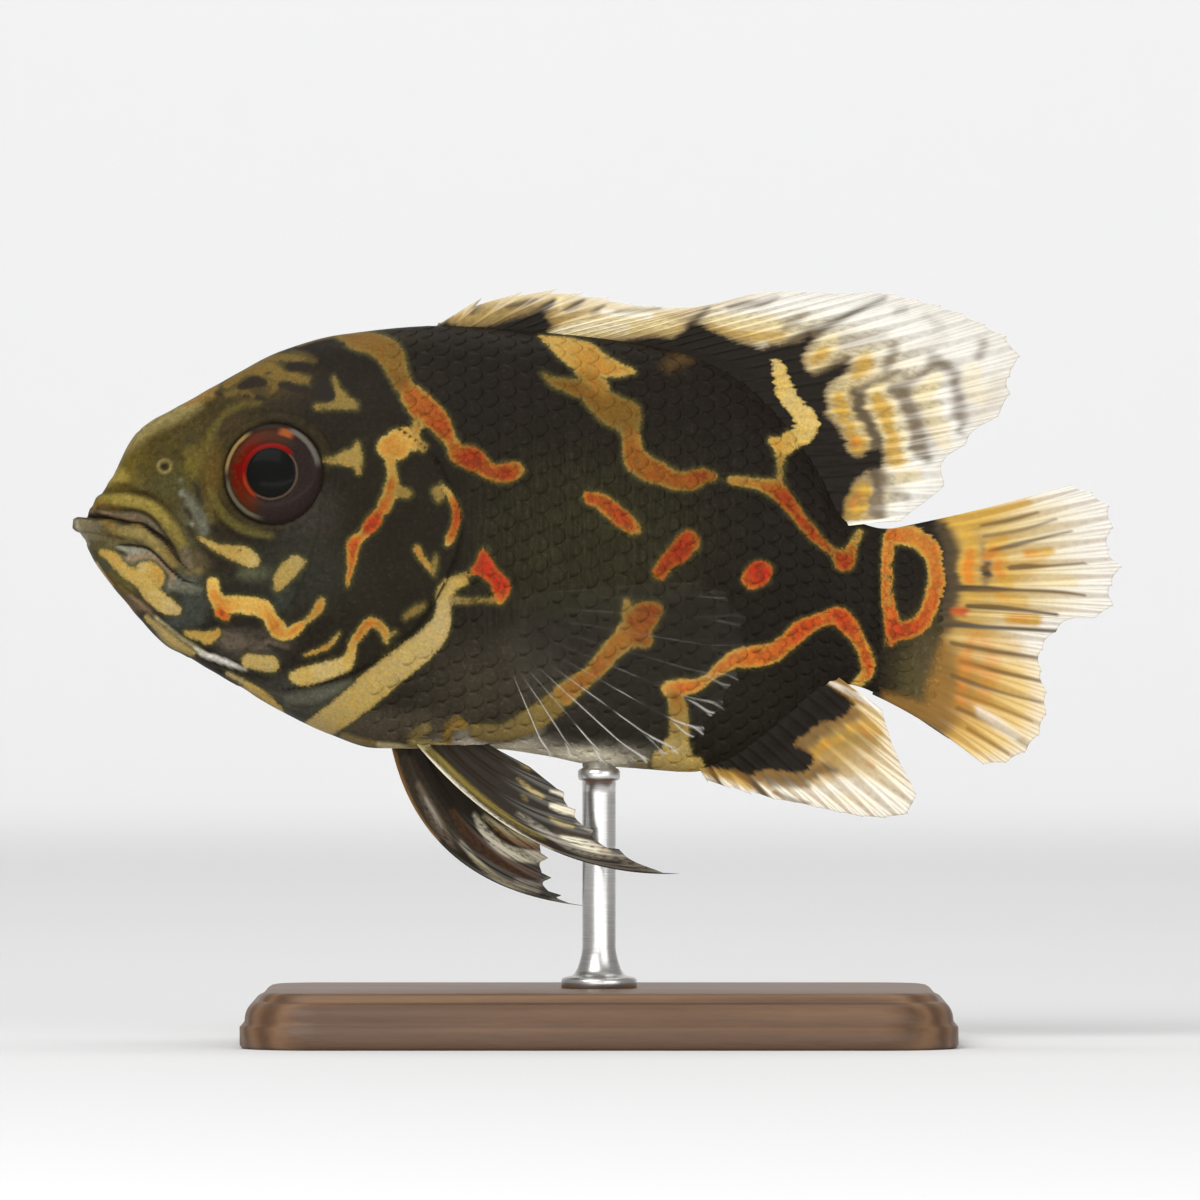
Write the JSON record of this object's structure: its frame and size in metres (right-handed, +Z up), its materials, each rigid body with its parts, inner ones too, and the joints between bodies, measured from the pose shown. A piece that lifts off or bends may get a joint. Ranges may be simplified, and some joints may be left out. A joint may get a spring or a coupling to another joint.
{
  "type": "oscar fish",
  "caption": "Young tiger oscar as a still, life-size museum model, held level by a rod on a flat wooden base.",
  "frame": {"origin": "on the surface that the stand rests on, under the middle of the whole model", "axes": "+X towards the tail (the head points to -X), +Y to the fish's right side, +Z up"},
  "size_m": [0.0941, 0.04, 0.068],
  "materials": {
    "skin": "moist scaled skin, near black and olive with orange markings",
    "fin": "thin rayed fin skin, amber and cream with dusky rays",
    "clear_fin": "nearly clear fin skin with fine pale rays",
    "eye": "wet and glossy, dark pupil in a red iris",
    "stand_wood": "satin varnish",
    "stand_metal": "brushed"
  },
  "bodies": {
    "root": {"head": "skin", "lower_jaw": "skin", "upper_lip": "skin", "lower_lip": "skin", "gill_cover_left": "skin", "gill_cover_right": "skin", "trunk": "skin", "tail_stalk": "skin", "eye_left": "eye", "eye_right": "eye", "dorsal_fin": "fin", "anal_fin": "fin", "tail_fin": "fin", "pelvic_fin_left": "fin", "pelvic_fin_right": "fin", "pectoral_fin_left": "clear_fin", "pectoral_fin_right": "clear_fin", "stand_base": "stand_wood", "stand_rod": "stand_metal"}
  },
  "joints": []
}
